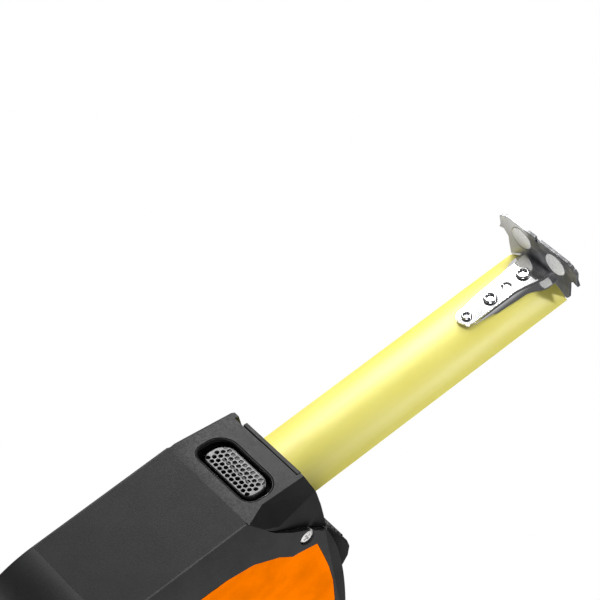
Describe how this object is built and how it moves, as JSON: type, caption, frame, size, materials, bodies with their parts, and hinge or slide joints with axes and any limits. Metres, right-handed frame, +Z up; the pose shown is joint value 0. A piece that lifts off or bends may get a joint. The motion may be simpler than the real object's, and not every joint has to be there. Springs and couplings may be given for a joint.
{
  "type": "tape measure",
  "caption": "Pocket tape measure with a curved steel blade drawn out, a magnetic T-shaped end hook, front lock lever, finger brake and belt clip.",
  "frame": {"origin": "on the flat base face, straight below the reel axis, midway between the label side and the clip side of the case", "axes": "+Z up from the base it stands on, the blade leaves along -Y, the label side is +X and the belt clip is on -X"},
  "size_m": [0.046, 0.1675, 0.075],
  "materials": {
    "shell_black": "fine moulded texture",
    "rubber_black": "satin, fine grain",
    "orange_panel": "semi-gloss",
    "nose_black": "satin with fine spark texture",
    "gloss_black": "gloss",
    "screw_chrome": "polished",
    "post_steel": "turned",
    "drum_black": "plain",
    "blade_yellow": "satin coated steel",
    "spring_steel": "blued",
    "rivet_chrome": "polished",
    "hook_chrome": "mirror polished",
    "magnet_nickel": "satin nickel",
    "button_rubber": "dotted grip",
    "clip_steel": "satin"
  },
  "bodies": {
    "case": {"right_shell": "shell_black", "left_shell": "shell_black", "right_grip": "rubber_black", "left_grip": "rubber_black", "right_panel": "orange_panel", "left_panel": "orange_panel", "right_nose": "nose_black", "left_nose": "nose_black", "lip_strip": "nose_black", "mouth_bumper": "rubber_black", "button_bezel": "gloss_black", "case_screws": "screw_chrome", "hub_post": "post_steel", "hub_caps": "shell_black", "clip_boss": "shell_black", "clip_base": "clip_steel", "clip_screw": "screw_chrome", "button_spring": "spring_steel"},
    "reel": {"reel_drum": "drum_black", "right_flange": "drum_black", "left_flange": "drum_black", "blade_coil": "blade_yellow", "power_spring": "spring_steel"},
    "blade": {"blade": "blade_yellow", "blade_leader": "blade_yellow", "rivets": "rivet_chrome"},
    "hook": {"hook_plate": "hook_chrome", "hook_tang": "hook_chrome", "magnets": "magnet_nickel"},
    "lock": {"lock_lever": "nose_black", "lever_grip": "rubber_black", "lock_arm": "post_steel", "lock_pad": "rubber_black"},
    "button": {"brake_button": "gloss_black", "button_pad": "button_rubber", "brake_shoe": "rubber_black"},
    "clip": {"belt_clip": "clip_steel"}
  },
  "joints": [
    {"name": "blade_pull", "type": "slide", "parent": "case", "child": "blade", "axis": [0, 1, 0], "range_m": [0, 0.087], "deforming": ["blade", "blade_leader"]},
    {"name": "reel_spin", "type": "hinge", "parent": "case", "child": "reel", "pos_m": [0, 0, 0.041], "axis": [1, 0, 0], "range_deg": [0, 176]},
    {"name": "hook_play", "type": "slide", "parent": "blade", "child": "hook", "axis": [0, 1, 0], "range_m": [-0.0005, 0.0005]},
    {"name": "lock_slide", "type": "slide", "parent": "case", "child": "lock", "axis": [0, 0, 1], "range_m": [-0.003, 0]},
    {"name": "finger_brake", "type": "slide", "parent": "case", "child": "button", "axis": [0, 0, 1], "range_m": [0, 0.0015], "stiffness_N_per_m": 600, "springref_m": -0.0005, "deforming": ["button_spring"]},
    {"name": "clip_flex", "type": "hinge", "parent": "case", "child": "clip", "pos_m": [-0.0246, 0, 0.0558], "axis": [0, 1, 0], "range_deg": [0, 6], "stiffness_Nm_per_rad": 1.5, "springref_deg": -1.15}
  ],
  "couplings": [
    {"joint": "reel_spin", "follows": "blade_pull", "rad_per_m": 35.088}
  ]
}
